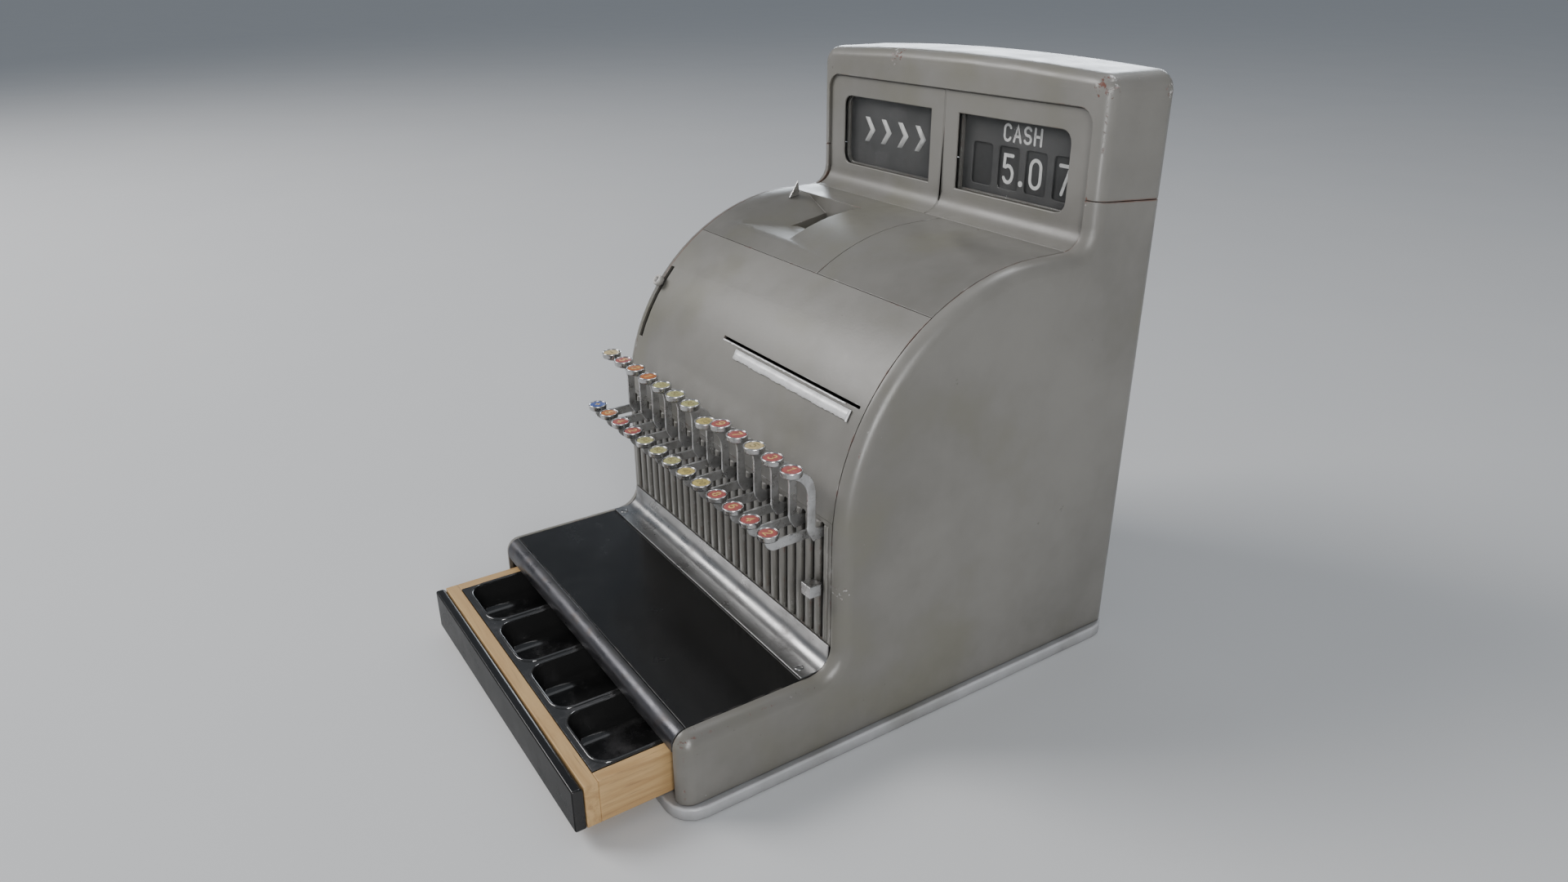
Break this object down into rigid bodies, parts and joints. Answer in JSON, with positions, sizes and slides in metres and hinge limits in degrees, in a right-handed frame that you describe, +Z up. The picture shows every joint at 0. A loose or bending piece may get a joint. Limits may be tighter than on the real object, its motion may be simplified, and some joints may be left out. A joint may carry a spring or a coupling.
{
  "type": "cash register",
  "caption": "Free-standing press-down-key cash register with curved front, lidded top, raised indicator windows, wrapping shelf and a wooden cash drawer standing open.",
  "frame": {"origin": "middle of the base pan's flat underside", "axes": "+Z up, -Y towards the operator (the drawer opens along -Y), +X to the operator's right"},
  "size_m": [0.383, 0.547, 0.526],
  "materials": {
    "grey_paint": "satin grey-green enamel, scuffed, with rust-red wear on the seams and top corners",
    "rail_paint": "light bluish-grey enamel, chipped along its lower edge",
    "black_gloss": "gloss black enamel with fine scratches",
    "tray_plastic": "glossy black moulded plastic",
    "worn_steel": "steel worn bare and dark in the recesses",
    "brushed_metal": "brushed aluminium, lightly scratched",
    "chrome": "chrome plate, dulled by handling",
    "wood": "pale varnished hardwood",
    "dark_plate": "matt dark grey paint with light grey figures",
    "glass": "clear flat glass",
    "cast_metal": "plain cast metal",
    "brass": "polished brass",
    "paper": "uncoated paper roll"
  },
  "bodies": {
    "housing": {"side_shell_right": "grey_paint", "side_shell_left": "grey_paint", "rear_panel": "grey_paint", "front_panel": "grey_paint", "slotted_panel": "grey_paint", "top_cover_left": "grey_paint", "top_cover_right": "grey_paint", "display_housing": "grey_paint", "window_bezel": "grey_paint", "base_pan": "rail_paint", "shelf_plate": "black_gloss", "shelf_nosing": "worn_steel", "cove_strip": "brushed_metal", "slip_table": "brushed_metal", "receipt_cutter": "chrome", "key_shaft": "chrome", "arrow_plate": "dark_plate", "indicator_mask": "dark_plate", "window_glass_left": "glass", "window_glass_right": "glass", "mechanism_frame": "cast_metal", "flag_guide": "cast_metal", "bell": "brass"},
    "drawer": {"drawer_front": "black_gloss", "drawer_box": "wood", "drawer_tray": "tray_plastic"},
    "release_lever": {"release_lever": "chrome"},
    "selector_lever": {"selector_lever": "chrome"},
    "drawer_latch": {"drawer_latch": "worn_steel"},
    "receipt_roll": {"receipt_roll": "paper"},
    "indicator_flag_1": {"indicator_flag_1": "dark_plate"},
    "indicator_flag_2": {"indicator_flag_2": "dark_plate"},
    "indicator_flag_3": {"indicator_flag_3": "dark_plate"},
    "indicator_flag_4": {"indicator_flag_4": "dark_plate"},
    "key_upper_01": {"key_upper_01": "chrome"},
    "key_lower_01": {"key_lower_01": "chrome"},
    "key_upper_02": {"key_upper_02": "chrome"},
    "key_lower_02": {"key_lower_02": "chrome"},
    "key_upper_03": {"key_upper_03": "chrome"},
    "key_lower_03": {"key_lower_03": "chrome"},
    "key_upper_04": {"key_upper_04": "chrome"},
    "key_lower_04": {"key_lower_04": "chrome"},
    "key_upper_05": {"key_upper_05": "chrome"},
    "key_lower_05": {"key_lower_05": "chrome"},
    "key_upper_06": {"key_upper_06": "chrome"},
    "key_lower_06": {"key_lower_06": "chrome"},
    "key_upper_07": {"key_upper_07": "chrome"},
    "key_lower_07": {"key_lower_07": "chrome"},
    "key_upper_08": {"key_upper_08": "chrome"},
    "key_lower_08": {"key_lower_08": "chrome"},
    "key_upper_09": {"key_upper_09": "chrome"},
    "key_lower_09": {"key_lower_09": "chrome"},
    "key_upper_10": {"key_upper_10": "chrome"},
    "key_lower_10": {"key_lower_10": "chrome"},
    "key_upper_11": {"key_upper_11": "chrome"},
    "key_lower_11": {"key_lower_11": "chrome"},
    "key_upper_12": {"key_upper_12": "chrome"},
    "key_lower_12": {"key_lower_12": "chrome"},
    "key_upper_13": {"key_upper_13": "chrome"},
    "key_lower_13": {"key_lower_13": "chrome"}
  },
  "joints": [
    {"name": "drawer_slide", "type": "slide", "parent": "housing", "child": "drawer", "axis": [0, -1, 0], "range_m": [-0.077, 0.2]},
    {"name": "release_lever_slide", "type": "slide", "parent": "housing", "child": "release_lever", "axis": [0, 0, -1], "range_m": [0, 0.018], "stiffness_N_per_m": 60, "springref_m": -0.02},
    {"name": "selector_lever_pivot", "type": "hinge", "parent": "housing", "child": "selector_lever", "pos_m": [-0.1677, 0.105, 0.195], "axis": [1, 0, 0], "range_deg": [-2.5, 13.5]},
    {"name": "drawer_latch_pivot", "type": "hinge", "parent": "housing", "child": "drawer_latch", "pos_m": [0.1405, 0.128, 0.067], "axis": [1, 0, 0], "range_deg": [-7, 0]},
    {"name": "receipt_roll_spin", "type": "hinge", "parent": "housing", "child": "receipt_roll", "pos_m": [-0.1, 0.062, 0.3], "axis": [1, 0, 0], "continuous": true},
    {"name": "indicator_flag_1_slide", "type": "slide", "parent": "housing", "child": "indicator_flag_1", "axis": [0, 0, -1], "range_m": [0, 0.044]},
    {"name": "indicator_flag_2_slide", "type": "slide", "parent": "housing", "child": "indicator_flag_2", "axis": [0, 0, -1], "range_m": [0, 0.044]},
    {"name": "indicator_flag_3_slide", "type": "slide", "parent": "housing", "child": "indicator_flag_3", "axis": [0, 0, -1], "range_m": [0, 0.044]},
    {"name": "indicator_flag_4_slide", "type": "slide", "parent": "housing", "child": "indicator_flag_4", "axis": [0, 0, -1], "range_m": [0, 0.044]},
    {"name": "key_upper_01_press", "type": "hinge", "parent": "housing", "child": "key_upper_01", "pos_m": [0, 0.06, 0.19], "axis": [1, 0, 0], "range_deg": [0, 4.5], "stiffness_Nm_per_rad": 2, "springref_deg": -14.32},
    {"name": "key_lower_01_press", "type": "hinge", "parent": "housing", "child": "key_lower_01", "pos_m": [0, 0.06, 0.19], "axis": [1, 0, 0], "range_deg": [0, 4.5], "stiffness_Nm_per_rad": 2, "springref_deg": -14.32},
    {"name": "key_upper_02_press", "type": "hinge", "parent": "housing", "child": "key_upper_02", "pos_m": [0, 0.06, 0.19], "axis": [1, 0, 0], "range_deg": [0, 4.5], "stiffness_Nm_per_rad": 2, "springref_deg": -14.32},
    {"name": "key_lower_02_press", "type": "hinge", "parent": "housing", "child": "key_lower_02", "pos_m": [0, 0.06, 0.19], "axis": [1, 0, 0], "range_deg": [0, 4.5], "stiffness_Nm_per_rad": 2, "springref_deg": -14.32},
    {"name": "key_upper_03_press", "type": "hinge", "parent": "housing", "child": "key_upper_03", "pos_m": [0, 0.06, 0.19], "axis": [1, 0, 0], "range_deg": [0, 4.5], "stiffness_Nm_per_rad": 2, "springref_deg": -14.32},
    {"name": "key_lower_03_press", "type": "hinge", "parent": "housing", "child": "key_lower_03", "pos_m": [0, 0.06, 0.19], "axis": [1, 0, 0], "range_deg": [0, 4.5], "stiffness_Nm_per_rad": 2, "springref_deg": -14.32},
    {"name": "key_upper_04_press", "type": "hinge", "parent": "housing", "child": "key_upper_04", "pos_m": [0, 0.06, 0.19], "axis": [1, 0, 0], "range_deg": [0, 4.5], "stiffness_Nm_per_rad": 2, "springref_deg": -14.32},
    {"name": "key_lower_04_press", "type": "hinge", "parent": "housing", "child": "key_lower_04", "pos_m": [0, 0.06, 0.19], "axis": [1, 0, 0], "range_deg": [0, 4.5], "stiffness_Nm_per_rad": 2, "springref_deg": -14.32},
    {"name": "key_upper_05_press", "type": "hinge", "parent": "housing", "child": "key_upper_05", "pos_m": [0, 0.06, 0.19], "axis": [1, 0, 0], "range_deg": [0, 4.5], "stiffness_Nm_per_rad": 2, "springref_deg": -14.32},
    {"name": "key_lower_05_press", "type": "hinge", "parent": "housing", "child": "key_lower_05", "pos_m": [0, 0.06, 0.19], "axis": [1, 0, 0], "range_deg": [0, 4.5], "stiffness_Nm_per_rad": 2, "springref_deg": -14.32},
    {"name": "key_upper_06_press", "type": "hinge", "parent": "housing", "child": "key_upper_06", "pos_m": [0, 0.06, 0.19], "axis": [1, 0, 0], "range_deg": [0, 4.5], "stiffness_Nm_per_rad": 2, "springref_deg": -14.32},
    {"name": "key_lower_06_press", "type": "hinge", "parent": "housing", "child": "key_lower_06", "pos_m": [0, 0.06, 0.19], "axis": [1, 0, 0], "range_deg": [0, 4.5], "stiffness_Nm_per_rad": 2, "springref_deg": -14.32},
    {"name": "key_upper_07_press", "type": "hinge", "parent": "housing", "child": "key_upper_07", "pos_m": [0, 0.06, 0.19], "axis": [1, 0, 0], "range_deg": [0, 4.5], "stiffness_Nm_per_rad": 2, "springref_deg": -14.32},
    {"name": "key_lower_07_press", "type": "hinge", "parent": "housing", "child": "key_lower_07", "pos_m": [0, 0.06, 0.19], "axis": [1, 0, 0], "range_deg": [0, 4.5], "stiffness_Nm_per_rad": 2, "springref_deg": -14.32},
    {"name": "key_upper_08_press", "type": "hinge", "parent": "housing", "child": "key_upper_08", "pos_m": [0, 0.06, 0.19], "axis": [1, 0, 0], "range_deg": [0, 4.5], "stiffness_Nm_per_rad": 2, "springref_deg": -14.32},
    {"name": "key_lower_08_press", "type": "hinge", "parent": "housing", "child": "key_lower_08", "pos_m": [0, 0.06, 0.19], "axis": [1, 0, 0], "range_deg": [0, 4.5], "stiffness_Nm_per_rad": 2, "springref_deg": -14.32},
    {"name": "key_upper_09_press", "type": "hinge", "parent": "housing", "child": "key_upper_09", "pos_m": [0, 0.06, 0.19], "axis": [1, 0, 0], "range_deg": [0, 4.5], "stiffness_Nm_per_rad": 2, "springref_deg": -14.32},
    {"name": "key_lower_09_press", "type": "hinge", "parent": "housing", "child": "key_lower_09", "pos_m": [0, 0.06, 0.19], "axis": [1, 0, 0], "range_deg": [0, 4.5], "stiffness_Nm_per_rad": 2, "springref_deg": -14.32},
    {"name": "key_upper_10_press", "type": "hinge", "parent": "housing", "child": "key_upper_10", "pos_m": [0, 0.06, 0.19], "axis": [1, 0, 0], "range_deg": [0, 4.5], "stiffness_Nm_per_rad": 2, "springref_deg": -14.32},
    {"name": "key_lower_10_press", "type": "hinge", "parent": "housing", "child": "key_lower_10", "pos_m": [0, 0.06, 0.19], "axis": [1, 0, 0], "range_deg": [0, 4.5], "stiffness_Nm_per_rad": 2, "springref_deg": -14.32},
    {"name": "key_upper_11_press", "type": "hinge", "parent": "housing", "child": "key_upper_11", "pos_m": [0, 0.06, 0.19], "axis": [1, 0, 0], "range_deg": [0, 4.5], "stiffness_Nm_per_rad": 2, "springref_deg": -14.32},
    {"name": "key_lower_11_press", "type": "hinge", "parent": "housing", "child": "key_lower_11", "pos_m": [0, 0.06, 0.19], "axis": [1, 0, 0], "range_deg": [0, 4.5], "stiffness_Nm_per_rad": 2, "springref_deg": -14.32},
    {"name": "key_upper_12_press", "type": "hinge", "parent": "housing", "child": "key_upper_12", "pos_m": [0, 0.06, 0.19], "axis": [1, 0, 0], "range_deg": [0, 4.5], "stiffness_Nm_per_rad": 2, "springref_deg": -14.32},
    {"name": "key_lower_12_press", "type": "hinge", "parent": "housing", "child": "key_lower_12", "pos_m": [0, 0.06, 0.19], "axis": [1, 0, 0], "range_deg": [0, 4.5], "stiffness_Nm_per_rad": 2, "springref_deg": -14.32},
    {"name": "key_upper_13_press", "type": "hinge", "parent": "housing", "child": "key_upper_13", "pos_m": [0, 0.06, 0.19], "axis": [1, 0, 0], "range_deg": [0, 4.5], "stiffness_Nm_per_rad": 2, "springref_deg": -14.32},
    {"name": "key_lower_13_press", "type": "hinge", "parent": "housing", "child": "key_lower_13", "pos_m": [0, 0.06, 0.19], "axis": [1, 0, 0], "range_deg": [0, 4.5], "stiffness_Nm_per_rad": 2, "springref_deg": -14.32}
  ]
}
